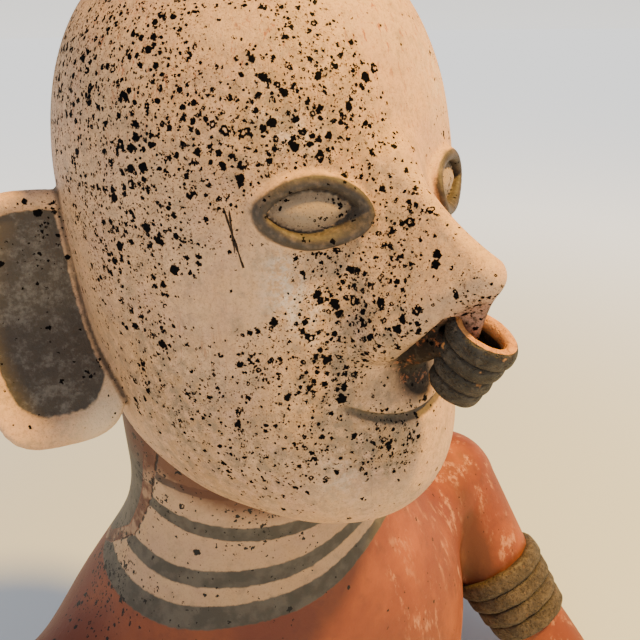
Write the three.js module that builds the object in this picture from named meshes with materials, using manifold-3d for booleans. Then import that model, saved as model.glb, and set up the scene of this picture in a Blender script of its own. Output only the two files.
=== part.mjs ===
import * as THREE from 'three';
import { mergeVertices } from 'three/addons/utils/BufferGeometryUtils.js';
import Module from 'manifold-3d';

// Bust of a hollow fired clay figure, in millimetres. The face looks towards -Y and the figure's
// left side is +X. Both sides are alike but for the hang of the nose ring. While it is modelled,
// y = 0 is just behind the middle of the face, and heights are given from the eyes. The finished
// bust is moved so that the middle of its flat underside is the origin.

// Height of the middle of the eyes above the underside.
const eyeLevel = 335;

// Head: an egg with an elliptic plan, widest below the eyes, with a sloping forehead and a full,
// forward chin. Its front, back and half width change with height at these rates per 100 mm.
const headHalfWidth = 71;
const headFront = 66.5;
const headBack = 86;
const headWidening = 4.9;
const headBackLean = 11;
const foreheadSlope = 4.2;
const chinFullness = 20;
const headWidest = -20.5;
const crownRise = 96;
const chinDrop = 104.7;
const crownExponent = 2.4;
const chinExponent = 3.8;
const headAxisBack = 10;

// Nose: a prow that leaves the face between the eyes and spreads to a wing on each side. Each flank
// is a thick triangle between the middles of the tip, the root and a wing.
const noseProjection = 37;
const noseTip = -16.5;
const noseTipRadius = 6.2;
const noseRoot = 6;
const noseRootRadius = 7;
const noseRootSink = 4.5;
const noseRidgeDip = 2.2;
const wingSpread = 12.5;
const wingForward = 7.5;
const wingHeight = -37;
const wingRadius = 9;

// The nose is drawn forwards from a patch of the face, whose edge is sunk in the head.
const noseBlend = 11;
const patchTop = 25;
const patchBottom = -59;
const patchTopHalfWidth = 17;
const patchBottomHalfWidth = 35;
const patchEdgeSink = 3;

// Nostrils: each runs from beside the septum, under the tip, back and down into the wing.
const nostrilRadius = 5;
const nostrilFrontRadius = 4;
const nostrilFrontSpread = 6.5;
const nostrilFrontForward = 26.5;
const nostrilFrontHeight = -31.5;
const nostrilBackSpread = 8.5;
const nostrilBackForward = 13;
const nostrilBackHeight = -45;

// Mouth: one shallow groove that rises to its corners.
const mouthHalfWidth = 26;
const mouthHeight = -68.5;
const mouthRise = 8.5;
const mouthDepth = 1.7;
const mouthGrooveRadius = 2.6;

// Eyes: a lens of clay with a pointed oval rope of clay pressed on round it.
const eyeSpacing = 56.4;
const eyeHalfWidth = 12.5;
const eyeHalfHeight = 8.4;
const eyeDrop = 1;
const eyePoint = 0.6;
const eyeRopeRadius = 2.9;
const eyeRopeLift = 1;
const eyeballRise = 2.4;
const eyeballDepth = 7.2;

// Ears: boxy tabs that face forwards. The lower part of each sweeps forwards to the jaw, between
// these shares of the ear's height above its middle.
const earHeight = 84;
const earHalfWidth = 24;
const earOffset = 13.5;
const earThickness = 8;
const earSquareness = 3.2;
const earEdgeBluntness = 0.35;
const earMiddle = -45.5;
const earBack = 29;
const earTurn = 0.2;
const earLean = -0.05;
const earSweep = 24.5;
const earSweepTop = 0.02;
const earSweepBottom = -0.45;

// Nose ring: a short oval tube of stacked coils that hangs under the tip of the nose.
const ringCoils = 4;
const ringLength = 28;
const ringHalfWidth = 7.2;
const ringHalfDepth = 10.4;
const ringNarrowing = 0.08;
const ringWall = 3.3;
const ringCoilSwell = 0.8;
const ringTilt = 0.45;
const ringLean = 0.13;
const ringTwist = 0.19;
const ringBehindTip = 3.7;
const ringBelowTip = 15.7;

// Clay that holds the ring: the septum hangs into its top as a flat strap, and a bridge joins its
// back to the lip.
const septumRadius = 5.6;
const septumFlatness = 0.55;
const septumDip = 3;
const septumSetBack = 4.6;
const bridgeRadius = 5;
const bridgeFootRadius = 8;
const bridgeFootHeight = -49;
const bridgeFootSink = 6;

// Neck and body.
const neckHalfWidth = 61.5;
const neckHalfDepth = 51;
const neckBack = 15.5;
const neckTop = -78;
const neckTopRounding = 18;
const bodyHalfWidth = 120.5;
const bodyHalfDepth = 83;
const bodyBack = 18.5;
const bodyBelowEyes = 275;
const shoulderRise = 119;
const bodyPlanExponent = 2.4;
const shoulderExponent = 2.3;
const neckBlend = 46;

// Arms: a yoke runs out of the body to each shoulder. From there the arm goes forwards and down,
// and is cut off by the underside.
const yokeReach = 84;
const yokeBelowEyes = 228;
const yokeRadius = 39;
const shoulderReach = 134;
const shoulderBack = 14;
const shoulderBelowEyes = 224;
const shoulderRadius = 34;
const armReach = 148;
const armForward = 43.5;
const armBelowEyes = 290;
const armRadius = 21;
const armStart = -27;

// Armbands: stacked coils round each upper arm, from this far down the arm.
const bandCoils = 4;
const bandStart = 58;
const bandLength = 42;
const bandThickness = 3.4;
const bandCoilSwell = 1.6;

// Facets.
const headSegments = 40;
const headRings = 26;
const noseColumns = 18;
const noseRows = 21;
const bodySegments = 36;
const bodyRings = 16;
const armSegments = 16;
const armRings = 7;
const barSides = 10;
const coilSteps = 3;
const coilRoundness = 0.6;
const ropeSteps = 22;
const ropeSides = 6;
const eyeballSegments = 18;
const eyeballRings = 12;
const mouthSteps = 14;
const earSegments = 20;
const earRings = 8;

// Limits of the searches for a form's surface, and the distance at which vertices are joined.
const searchReach = 260;
const searchSteps = 34;
const slopeStep = 0.5;
const smallestSize = 0.25;
const weldDistance = 1e-4;

const { clamp, lerp, smoothstep } = THREE.MathUtils;
const wasm = await Module();
wasm.setup();

const at = (x, y, aboveEyes) => new THREE.Vector3(x, y, eyeLevel + aboveEyes);

// Joins two distances with a fillet about as wide as the blend.
function smoothMin(a, b, blend) {
  const share = clamp(0.5 + (0.5 * (b - a)) / blend, 0, 1);
  return lerp(b, a, share) - blend * share * (1 - share);
}

// Cuts one distance by another with a rounded edge.
function smoothMax(a, b, blend) {
  return -smoothMin(-a, -b, blend);
}

// Distance, nearly, to a rounded block with these half sizes along x, y and z.
function roundedBlock(x, y, z, halfX, halfY, halfZ, planExponent, riseExponent) {
  const plan = (Math.abs(x / halfX) ** planExponent
    + Math.abs(y / halfY) ** planExponent) ** (1 / planExponent);
  const size = (plan ** riseExponent + Math.abs(z / halfZ) ** riseExponent) ** (1 / riseExponent);
  return ((size - 1) * Math.hypot(x, y, z)) / Math.max(size, smallestSize);
}

function head(point) {
  const height = point.z - eyeLevel;
  const rate = height / 100;
  const y = point.y - headAxisBack;
  const halfWidth = headHalfWidth + headWidening * rate;
  const front = headFront + headAxisBack - foreheadSlope * rate + chinFullness * rate * rate;
  const back = headBack - headAxisBack + headBackLean * rate;
  const z = height - headWidest;
  return roundedBlock(point.x, y, z, halfWidth, y < 0 ? front : back,
    z > 0 ? crownRise : chinDrop, 2, z > 0 ? crownExponent : chinExponent);
}

const tipY = -headFront - noseProjection;
const noseTipMiddle = at(0, tipY + noseTipRadius, noseTip);
const noseRootMiddle = at(0, noseRootSink - headFront, noseRoot);
const wingMiddle = at(wingSpread, -headFront - wingForward, wingHeight);
const flank = new THREE.Triangle(noseTipMiddle, noseRootMiddle, wingMiddle);

// Both flanks are alike, so a point is folded over to the left one.
function nose(point) {
  const folded = new THREE.Vector3(Math.abs(point.x), point.y, point.z);
  const nearest = flank.closestPointToPoint(folded, new THREE.Vector3());
  const share = flank.getBarycoord(nearest, new THREE.Vector3());
  const radius = share.x * noseTipRadius + share.y * noseRootRadius + share.z * wingRadius;
  return folded.distanceTo(nearest) - radius + 4 * noseRidgeDip * share.x * share.y;
}

function neck(point) {
  const size = Math.hypot(point.x / neckHalfWidth, (point.y - neckBack) / neckHalfDepth);
  const side = ((size - 1) * Math.hypot(point.x, point.y - neckBack)) / Math.max(size, smallestSize);
  return smoothMax(side, point.z - eyeLevel - neckTop, neckTopRounding);
}

function body(point) {
  const above = Math.max(point.z - eyeLevel + bodyBelowEyes, 0);
  const trunk = roundedBlock(point.x, point.y - bodyBack, above, bodyHalfWidth, bodyHalfDepth,
    shoulderRise, bodyPlanExponent, shoulderExponent);
  return smoothMin(trunk, neck(point), neckBlend);
}

// How far from the centre, along a direction, the surface of a form lies.
function reach(form, centre, direction) {
  let inside = 0;
  let outside = searchReach;
  const point = new THREE.Vector3();
  for (let step = 0; step < searchSteps; step += 1) {
    const middle = (inside + outside) / 2;
    point.copy(centre).addScaledVector(direction, middle);
    if (form(point) < 0) inside = middle;
    else outside = middle;
  }
  return (inside + outside) / 2;
}

// The outward direction of a form's surface.
function outward(form, point) {
  const slope = ['x', 'y', 'z'].map((axis) => {
    const ahead = point.clone();
    const behind = point.clone();
    ahead[axis] += slopeStep;
    behind[axis] -= slopeStep;
    return form(ahead) - form(behind);
  });
  return new THREE.Vector3(...slope).normalize();
}

// A point of the front of the head, straight ahead of a place in the plane of the face.
function onFace(x, aboveEyes) {
  const start = at(x, headAxisBack, aboveEyes);
  start.y -= reach(head, start, new THREE.Vector3(0, -1, 0));
  return start;
}

// Moves each vertex of a geometry by a rule that changes it in place.
function reshape(geometry, rule) {
  const place = geometry.attributes.position;
  const vertex = new THREE.Vector3();
  for (let index = 0; index < place.count; index += 1) {
    rule(vertex.fromBufferAttribute(place, index));
    place.setXYZ(index, vertex.x, vertex.y, vertex.z);
  }
  return geometry;
}

// The closed solid of a geometry, with shared vertices merged.
function solid(geometry) {
  geometry.deleteAttribute('normal');
  geometry.deleteAttribute('uv');
  const merged = mergeVertices(geometry, weldDistance);
  const triVerts = [];
  const { array } = merged.index;
  for (let index = 0; index < array.length; index += 3) {
    const [a, b, c] = array.slice(index, index + 3);
    if (a !== b && b !== c && c !== a) triVerts.push(a, b, c);
  }
  return new wasm.Manifold(new wasm.Mesh({
    numProp: 3,
    vertProperties: new Float32Array(merged.attributes.position.array),
    triVerts: new Uint32Array(triVerts),
  }));
}

// A ball whose vertices are drawn out from the middle of the head.
function headSolid() {
  const centre = at(0, headAxisBack, headWidest);
  const ball = new THREE.SphereGeometry(1, headSegments, headRings).rotateX(Math.PI / 2);
  return solid(reshape(ball, (vertex) => {
    vertex.multiplyScalar(reach(head, centre, vertex)).add(centre);
  }));
}

function noseSolid() {
  const form = (point) => smoothMin(head(point), nose(point), noseBlend);
  const forwards = new THREE.Vector3(0, -1, 0);
  const patch = new THREE.BoxGeometry(2, 2, 2, noseColumns, 1, noseRows);
  return solid(reshape(patch, (vertex) => {
    const share = (vertex.z + 1) / 2;
    const half = lerp(patchBottomHalfWidth, patchTopHalfWidth, share);
    const isFront = vertex.y < 0;
    const isEdge = Math.max(Math.abs(vertex.x), Math.abs(vertex.z)) > 0.999;
    vertex.copy(at(vertex.x * half, -headFront / 2, lerp(patchBottom, patchTop, share)));
    if (isFront) vertex.y -= reach(form, vertex, forwards) - (isEdge ? patchEdgeSink : 0);
  }));
}

// Neck and trunk: a column whose rings are drawn out to the body's surface.
function bodySolid() {
  const top = eyeLevel + neckTop - 1;
  const column = new THREE.CylinderGeometry(1, 1, 1, bodySegments, bodyRings);
  return solid(reshape(column, (vertex) => {
    const centre = new THREE.Vector3(0, neckBack, (vertex.y + 0.5) * top);
    const direction = new THREE.Vector3(vertex.x, -vertex.z, 0);
    if (direction.length() > 0.5) direction.setLength(reach(body, centre, direction.normalize()));
    vertex.copy(centre).add(direction);
  }));
}

const shoulder = (side) => at(side * shoulderReach, shoulderBack, -shoulderBelowEyes);

// A ruler for one arm: places along it, and its radius there.
function armRuler(side) {
  const start = shoulder(side);
  const along = at(side * armReach, -armForward, -armBelowEyes).sub(start);
  const length = along.length();
  along.normalize();
  return {
    start,
    along,
    radiusAt: (distance) => lerp(shoulderRadius, armRadius, Math.min(distance / length, 1)),
    turn: new THREE.Quaternion().setFromUnitVectors(new THREE.Vector3(0, 1, 0), along),
  };
}

// An arm starts as a ball inside the shoulder and runs on below the underside.
function armSolid(side) {
  const { start, along, radiusAt, turn } = armRuler(side);
  const end = start.z / -along.z + shoulderRadius;
  const tube = new THREE.CylinderGeometry(1, 1, 1, armSegments, armRings);
  return solid(reshape(tube, (vertex) => {
    const distance = lerp(armStart, end, vertex.y + 0.5);
    const ball = distance < 0 ? Math.sqrt(1 - (distance / shoulderRadius) ** 2) : 1;
    const radius = ball * radiusAt(Math.max(distance, 0));
    vertex.set(vertex.x * radius, distance, vertex.z * radius);
    vertex.applyQuaternion(turn).add(start);
  }));
}

// The outline of stacked coils: radius and distance along them, from a base radius outwards.
function coilProfile(coils, length, radiusAt, swell) {
  const points = [];
  for (let step = 0; step <= coils * coilSteps; step += 1) {
    const distance = (step / (coils * coilSteps)) * length;
    const bulge = Math.abs(Math.sin((Math.PI * step) / coilSteps)) ** coilRoundness;
    points.push(new THREE.Vector2(radiusAt(distance) + swell * (2 * bulge - 1), distance));
  }
  return points;
}

function armbandSolid(side) {
  const { start, radiusAt, turn } = armRuler(side);
  const outline = coilProfile(bandCoils, bandLength,
    (distance) => radiusAt(bandStart + distance) + bandThickness, bandCoilSwell);
  const profile = [new THREE.Vector2(0, 0), ...outline, new THREE.Vector2(0, bandLength)];
  const band = new THREE.LatheGeometry(profile, armSegments);
  return solid(reshape(band, (vertex) => {
    vertex.y += bandStart;
    vertex.applyQuaternion(turn).add(start);
  }));
}

// The nose ring's own frame: down its axis, forwards across it, and sideways.
function ringFrame() {
  const turn = new THREE.Euler(ringTilt, -ringLean, ringTwist, 'YXZ');
  const turned = (x, y, z) => new THREE.Vector3(x, y, z).applyEuler(turn);
  return {
    top: at(0, tipY + ringBehindTip, noseTip - ringBelowTip),
    down: turned(0, 0, -1),
    ahead: turned(0, -1, 0),
    sideways: turned(1, 0, 0),
  };
}

function noseRingSolid() {
  const { top, down, ahead, sideways } = ringFrame();
  const outer = coilProfile(ringCoils, ringLength,
    (distance) => ringHalfDepth - ringNarrowing * distance, ringCoilSwell);
  const inner = ringHalfDepth - ringWall;
  const profile = [new THREE.Vector2(inner, 0), ...outer,
    new THREE.Vector2(inner, ringLength), new THREE.Vector2(inner, 0)];
  const ring = new THREE.LatheGeometry(profile, armSegments);
  return solid(reshape(ring, (vertex) => {
    const radius = Math.hypot(vertex.x, vertex.z);
    const across = (vertex.x / radius) * (radius + ringHalfWidth - ringHalfDepth);
    const distance = vertex.y;
    const forwards = -vertex.z;
    vertex.copy(top).addScaledVector(down, distance)
      .addScaledVector(sideways, across).addScaledVector(ahead, forwards);
  }));
}

// A round-ended bar between two places.
function bar(start, end, startRadius, endRadius, sides = barSides) {
  const length = start.distanceTo(end);
  const along = end.clone().sub(start).normalize();
  const turn = new THREE.Quaternion().setFromUnitVectors(new THREE.Vector3(0, 1, 0), along);
  const capsule = new THREE.CapsuleGeometry(1, length, Math.round(sides / 3), sides);
  return solid(reshape(capsule, (vertex) => {
    const middle = clamp(vertex.y, -length / 2, length / 2);
    const radius = lerp(startRadius, endRadius, middle / length + 0.5);
    const distance = (vertex.y - middle) * radius + middle + length / 2;
    vertex.set(vertex.x * radius, distance, vertex.z * radius);
    vertex.applyQuaternion(turn).add(start);
  }));
}

function yokeSolid(side) {
  const start = at(side * yokeReach, bodyBack, -yokeBelowEyes);
  return bar(start, shoulder(side), yokeRadius, shoulderRadius, armSegments);
}

function septumSolid() {
  const { top, down, ahead } = ringFrame();
  const end = top.addScaledVector(down, septumDip).addScaledVector(ahead, -septumSetBack);
  return bar(noseTipMiddle, end, septumRadius, septumRadius).scale([septumFlatness, 1, 1]);
}

function bridgeSolid() {
  const { top, down, ahead } = ringFrame();
  const start = top.addScaledVector(down, ringLength / 2)
    .addScaledVector(ahead, ringWall / 2 - ringHalfDepth);
  const foot = onFace(0, bridgeFootHeight);
  foot.y += bridgeFootSink;
  return bar(start, foot, bridgeRadius, bridgeFootRadius);
}

function nostrilSolid(side) {
  const front = at(side * nostrilFrontSpread, -headFront - nostrilFrontForward, nostrilFrontHeight);
  const back = at(side * nostrilBackSpread, -headFront - nostrilBackForward, nostrilBackHeight);
  return bar(front, back, nostrilFrontRadius, nostrilRadius);
}

// A place on the pointed oval round an eye.
function eyeEdge(side, turn) {
  const share = Math.cos(turn);
  const x = side * (eyeSpacing / 2 + eyeHalfWidth * share);
  const rise = Math.sign(Math.sin(turn)) * eyeHalfHeight * (1 - share * share) ** eyePoint;
  return onFace(x, rise - eyeDrop);
}

// The rope follows the oval, with its cross section square to the face.
function eyeRopeSolid(side) {
  const centre = onFace((side * eyeSpacing) / 2, -eyeDrop);
  const rope = new THREE.TorusGeometry(2, 1, ropeSides, ropeSteps);
  return solid(reshape(rope, (vertex) => {
    const turn = side * Math.atan2(vertex.y, vertex.x) + (side < 0 ? Math.PI : 0);
    const middle = eyeEdge(side, turn);
    const up = outward(head, middle);
    const across = middle.clone().sub(centre).projectOnPlane(up).normalize();
    const outwards = (Math.hypot(vertex.x, vertex.y) - 2) * eyeRopeRadius;
    const lift = vertex.z * eyeRopeRadius + eyeRopeLift;
    vertex.copy(middle).addScaledVector(across, outwards).addScaledVector(up, lift);
  }));
}

function eyeballSolid(side) {
  const middle = (side * eyeSpacing) / 2;
  const lens = new THREE.SphereGeometry(1, eyeballSegments, eyeballRings);
  return solid(reshape(lens, (vertex) => {
    const place = onFace(middle + vertex.x * eyeHalfWidth, vertex.z * eyeHalfHeight - eyeDrop);
    place.y += vertex.y * eyeballDepth + eyeballDepth - eyeballRise;
    vertex.copy(place);
  }));
}

function mouthSolid() {
  const groove = new THREE.CylinderGeometry(1, 1, 1, ropeSides, mouthSteps);
  return solid(reshape(groove, (vertex) => {
    const share = 2 * vertex.y;
    const radius = mouthGrooveRadius * Math.sqrt(Math.max(1 - share * share, 0.02));
    const place = onFace(share * mouthHalfWidth, mouthHeight + mouthRise * share * share);
    place.y += mouthDepth - mouthGrooveRadius - vertex.x * radius;
    place.z += vertex.z * radius;
    vertex.copy(place);
  }));
}

// A ball pressed flat into a tab: its x and z give the outline, and its y the thickness.
function earSolid(side) {
  const foot = at(0, earBack, earMiddle);
  const surface = reach(head, foot, new THREE.Vector3(side, 0, 0));
  const turn = new THREE.Euler(0, earLean, earTurn, 'ZYX');
  const ball = new THREE.SphereGeometry(1, earSegments, earRings);
  return solid(reshape(ball, (vertex) => {
    const { x, y, z } = vertex;
    const size = (Math.abs(x) ** earSquareness + Math.abs(z) ** earSquareness) ** (1 / earSquareness);
    const spread = Math.hypot(x, z) / Math.max(size, weldDistance);
    const up = (z * spread * earHeight) / 2;
    const sweep = earSweep * (1 - smoothstep(up / earHeight, earSweepBottom, earSweepTop));
    const through = (Math.sign(y) * Math.abs(y) ** earEdgeBluntness * earThickness) / 2 - sweep;
    vertex.set(earOffset + side * x * spread * earHalfWidth, through, up).applyEuler(turn);
    vertex.set(side * (surface + vertex.x), vertex.y, vertex.z).add(foot);
  }));
}

function figureGeometry() {
  let figure = headSolid().add(noseSolid()).add(bodySolid());
  for (const side of [-1, 1]) {
    figure = figure.add(yokeSolid(side)).add(armSolid(side)).add(armbandSolid(side));
    figure = figure.add(earSolid(side)).add(eyeballSolid(side)).add(eyeRopeSolid(side));
    figure = figure.subtract(nostrilSolid(side));
  }
  figure = figure.add(noseRingSolid()).add(septumSolid()).add(bridgeSolid());
  const ground = new THREE.BoxGeometry(eyeLevel, eyeLevel, eyeLevel).scale(3, 3, 1);
  ground.translate(0, 0, -eyeLevel / 2);
  figure = figure.subtract(mouthSolid()).subtract(solid(ground));
  const { vertProperties, triVerts } = figure.getMesh();
  const geometry = new THREE.BufferGeometry();
  geometry.setAttribute('position', new THREE.BufferAttribute(vertProperties, 3));
  geometry.setIndex(new THREE.BufferAttribute(triVerts, 1));
  return geometry;
}

const clay = new THREE.MeshStandardMaterial({ color: 0xc9a07c, roughness: 0.6, metalness: 0 });
const figure = new THREE.Mesh(figureGeometry(), clay);
figure.name = 'figure';
figure.position.y = -bodyBack;

const bust = new THREE.Group();
bust.add(figure);

export default bust;
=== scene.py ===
import math

import bpy
import numpy as np
from mathutils import Matrix, Vector


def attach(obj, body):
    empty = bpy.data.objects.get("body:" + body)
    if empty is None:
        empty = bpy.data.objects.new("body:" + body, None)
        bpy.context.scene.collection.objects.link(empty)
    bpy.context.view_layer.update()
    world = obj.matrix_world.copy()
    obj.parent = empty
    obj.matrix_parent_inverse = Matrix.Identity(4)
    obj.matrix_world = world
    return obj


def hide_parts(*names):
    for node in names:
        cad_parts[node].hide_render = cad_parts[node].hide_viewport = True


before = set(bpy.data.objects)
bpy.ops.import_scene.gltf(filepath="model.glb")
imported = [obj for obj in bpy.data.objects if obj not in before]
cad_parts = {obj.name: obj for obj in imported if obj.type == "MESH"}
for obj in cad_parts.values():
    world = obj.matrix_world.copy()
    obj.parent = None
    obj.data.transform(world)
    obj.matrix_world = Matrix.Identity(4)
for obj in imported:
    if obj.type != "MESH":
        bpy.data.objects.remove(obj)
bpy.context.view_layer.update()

# A hollow clay figure's head, chest and arm stumps. Sizes are in millimetres. While a form is worked
# out, x is across, y runs back from just behind the face, and z is the height above the eyes.
EYE_LEVEL = 335.0
BODY_BACK = 18.5
EYES = np.array([0.0, -BODY_BACK, EYE_LEVEL])
MILLIMETRE = 0.001

# Head.
HEAD_HALF_WIDTH = 71.0
HEAD_FRONT = 66.5
HEAD_BACK = 86.0
HEAD_WIDENING = 4.9
HEAD_BACK_LEAN = 11.0
FOREHEAD_SLOPE = 4.2
CHIN_FULLNESS = 20.0
HEAD_WIDEST = -20.5
CROWN_RISE = 96.0
CHIN_DROP = 104.7
CROWN_EXPONENT = 2.4
CHIN_EXPONENT = 3.8
HEAD_AXIS_BACK = 10.0

# Nose. The middles of the balls of clay at its tip, root and wing, and their radii.
NOSE_TIP = np.array([0.0, -97.3, -16.5])
NOSE_ROOT = np.array([0.0, -62.0, 6.0])
NOSE_WING = np.array([12.5, -74.0, -37.0])
NOSE_RADII = np.array([6.2, 7.0, 9.0])
NOSE_RIDGE_DIP = 2.2
NOSE_BLEND = 11.0
NOSTRIL_FRONT = np.array([6.5, -93.0, -31.5])
NOSTRIL_BACK = np.array([8.5, -79.5, -45.0])
NOSTRIL_RADII = (4.0, 5.0)
NOSTRIL_BLEND = 1.5

# Mouth and eyes.
MOUTH_HALF_WIDTH = 26.0
MOUTH_HEIGHT = -68.5
MOUTH_RISE = 8.5
MOUTH_DEPTH = 2.0
GROOVE_HEIGHT = 4.2
LIP_RISE = 0.6
LIP_ABOVE_MOUTH = 4.0
LIP_HALF_HEIGHT = 3.0
EYE_MIDDLE = 28.2
EYE_DROP = 1.0
OPENING_HALF_WIDTH = 11.9
OPENING_HALF_HEIGHT = 6.2
ROPE_OUTER_HALF_WIDTH = 14.6
ROPE_OUTER_HALF_HEIGHT = 10.7
ROPE_HEIGHT = 2.7
ROPE_LIFT = 0.7
EYEBALL_RISE = 3.0
EYEBALL_SINK = 1.0
EYEBALL_BLEND = 0.4
ROPE_BLEND = 1.6

# Ears.
EAR_HALF_HEIGHT = 42.0
EAR_HALF_WIDTH = 24.0
EAR_OFFSET = 13.5
EAR_HALF_THICKNESS = 4.0
EAR_SQUARENESS = 3.2
EAR_PLACE = np.array([66.2, 29.0, -45.5])
EAR_TURN = 0.2
EAR_LEAN = -0.05
EAR_SWEEP = 24.5
EAR_SWEEP_TOP = 0.04
EAR_SWEEP_BOTTOM = -0.9
EAR_BORDER = 6.0
EAR_LOBE_BORDER = 11.5
EAR_DISH = 1.8
EAR_BLEND = 2.5

# Nose ring, the septum that hangs into it and the bridge from its back to the lip.
RING_COILS = 4
RING_LENGTH = 28.0
RING_HALF_WIDTH = 7.2
RING_HALF_DEPTH = 10.4
RING_NARROWING = 0.08
RING_WALL = 3.3
RING_COIL_THICKNESS = 4.4
RING_UNEVENNESS = 0.8
RING_TILT = 0.45
RING_LEAN = 0.13
RING_TWIST = 0.19
RING_TOP = np.array([0.0, -99.8, -32.2])
SEPTUM_RADIUS = 5.4
SEPTUM_FLATNESS = 0.55
SEPTUM_DIP = 3.0
SEPTUM_SET_BACK = 4.6
BRIDGE_FOOT = np.array([0.0, -64.0, -49.0])
BRIDGE_RADII = (5.0, 8.0)
SEPTUM_BLEND = 2.0
BRIDGE_BLEND = 4.0

# Neck, trunk and arms.
NECK_HALF_WIDTH = 61.5
NECK_HALF_DEPTH = 51.0
NECK_BACK = 15.5
NECK_TOP = -78.0
NECK_TOP_BLEND = 18.0
BODY_HALF_WIDTH = 120.5
BODY_HALF_DEPTH = 83.0
BODY_BELOW_EYES = 275.0
SHOULDER_RISE = 119.0
PLAN_EXPONENT = 2.4
SHOULDER_EXPONENT = 2.3
NECK_BLEND = 46.0
YOKE = np.array([84.0, 18.5, -228.0])
YOKE_RADIUS = 39.0
SHOULDER = np.array([134.0, 14.0, -224.0])
SHOULDER_RADIUS = 34.0
ARM_END = np.array([148.0, -43.5, -290.0])
ARM_RADIUS = 21.0
ARM_OVERRUN = 1.5
ARM_BLEND = 14.0
ARM_LENGTH = math.dist(SHOULDER, ARM_END)
ARM_WAY = (ARM_END - SHOULDER) / ARM_LENGTH

# Armbands.
BAND_COILS = 4
BAND_START = 58.0
BAND_LENGTH = 42.0
BAND_THICKNESS = 3.6
BAND_UNEVENNESS = 2.0


def clip(value, low, high):
    return np.minimum(np.maximum(value, low), high)


def ease(value, low, high):
    """0 at low, 1 at high, and a smooth change between."""
    share = clip((value - low) / (high - low), 0, 1)
    return share * share * (3 - 2 * share)


def smooth_min(a, b, blend):
    share = clip(0.5 + 0.5 * (b - a) / blend, 0, 1)
    return b + (a - b) * share - blend * share * (1 - share)


def smooth_max(a, b, blend):
    return -smooth_min(-a, -b, blend)


def length(vector):
    return np.sqrt((vector * vector).sum(-1))


def parts(point):
    """A point's x, y and z."""
    return point[..., 0], point[..., 1], point[..., 2]


def folded(point):
    """A point moved over to the figure's left, for a form that both sides have."""
    x, y, z = parts(point)
    return np.stack([np.abs(x), y, z], -1)


def rounded_block(x, y, z, half_x, half_y, half_z, plan_exponent, rise_exponent):
    plan = np.abs(x / half_x) ** plan_exponent + np.abs(y / half_y) ** plan_exponent
    plan = plan ** (1 / plan_exponent)
    size = (plan ** rise_exponent + np.abs(z / half_z) ** rise_exponent) ** (1 / rise_exponent)
    return (size - 1) * np.sqrt(x * x + y * y + z * z) / np.maximum(size, 0.25)


def limb(point, start, end, start_radius, end_radius, overrun=0.0):
    """Distance to a tapered round bar. Overrun carries it on past its end at the end's radius."""
    along = end - start
    share = clip(((point - start) @ along) / (along @ along), 0, 1 + overrun)
    radius = start_radius + (end_radius - start_radius) * np.minimum(share, 1)
    return length(point - start - share[..., None] * along) - radius


def skull(point):
    x, y, height = parts(point)
    y = y - HEAD_AXIS_BACK
    rate = clip(height, -150, 130) / 100
    front = HEAD_FRONT + HEAD_AXIS_BACK - FOREHEAD_SLOPE * rate + CHIN_FULLNESS * rate * rate
    back = HEAD_BACK - HEAD_AXIS_BACK + HEAD_BACK_LEAN * rate
    z = height - HEAD_WIDEST
    above = z > 0
    return rounded_block(x, y, z, HEAD_HALF_WIDTH + HEAD_WIDENING * rate, np.where(y < 0, front, back),
                         np.where(above, CROWN_RISE, CHIN_DROP), 2,
                         np.where(above, CROWN_EXPONENT, CHIN_EXPONENT))


def nose(point):
    """Distance to a thick triangle between the tip, the root and a wing."""
    place = folded(point)
    corners = (NOSE_TIP, NOSE_ROOT, NOSE_WING)
    ridge, flank = NOSE_ROOT - NOSE_TIP, NOSE_WING - NOSE_TIP
    normal = np.cross(ridge, flank)
    whole = normal @ normal
    offset = place - NOSE_TIP
    at_root = np.cross(offset, flank) @ normal / whole
    at_wing = np.cross(ridge, offset) @ normal / whole
    shares = np.stack([1 - at_root - at_wing, at_root, at_wing], -1)
    inside = (shares >= 0).all(-1)
    best = np.where(inside, np.abs(offset @ normal) / math.sqrt(whole), np.inf)
    shares = np.where(inside[..., None], shares, 0)
    for a, b in ((0, 1), (1, 2), (2, 0)):
        along = corners[b] - corners[a]
        share = clip(((place - corners[a]) @ along) / (along @ along), 0, 1)
        away = length(place - corners[a] - share[..., None] * along)
        closer = away < best
        best = np.where(closer, away, best)
        edge = np.zeros(share.shape + (3,))
        edge[..., a] = 1 - share
        edge[..., b] = share
        shares = np.where(closer[..., None], edge, shares)
    return best - shares @ NOSE_RADII + 4 * NOSE_RIDGE_DIP * shares[..., 0] * shares[..., 1]


def eye_opening(x, z):
    """Distance to a pointed oval, from places measured from its middle: below zero inside it."""
    x, z = np.abs(x), np.abs(z)
    radius = (OPENING_HALF_WIDTH ** 2 + OPENING_HALF_HEIGHT ** 2) / (2 * OPENING_HALF_HEIGHT)
    sink = radius - OPENING_HALF_HEIGHT
    past_corner = (x - OPENING_HALF_WIDTH) * sink > z * OPENING_HALF_WIDTH
    corner = np.sqrt((x - OPENING_HALF_WIDTH) ** 2 + z * z)
    return np.where(past_corner, corner, np.sqrt(x * x + (z + sink) ** 2) - radius)


def oval(x, z, half_x, half_z, squareness=2.0):
    size = (np.abs(x / half_x) ** squareness + np.abs(z / half_z) ** squareness) ** (1 / squareness)
    across = np.sqrt(x * x + z * z) / np.maximum(size, 0.3)
    return (size - 1) * np.where(size > 0.3, across, min(half_x, half_z))


def eye_rope(point):
    """Across an eye's rope: the place from its middle line, its half width there, and the opening."""
    x = np.abs(point[..., 0]) - EYE_MIDDLE
    z = point[..., 2] + EYE_DROP
    opening = eye_opening(x, z)
    outer = oval(x, z, ROPE_OUTER_HALF_WIDTH, ROPE_OUTER_HALF_HEIGHT)
    return (opening + outer) / 2, np.maximum((opening - outer) / 2, 1.2), opening


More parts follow.
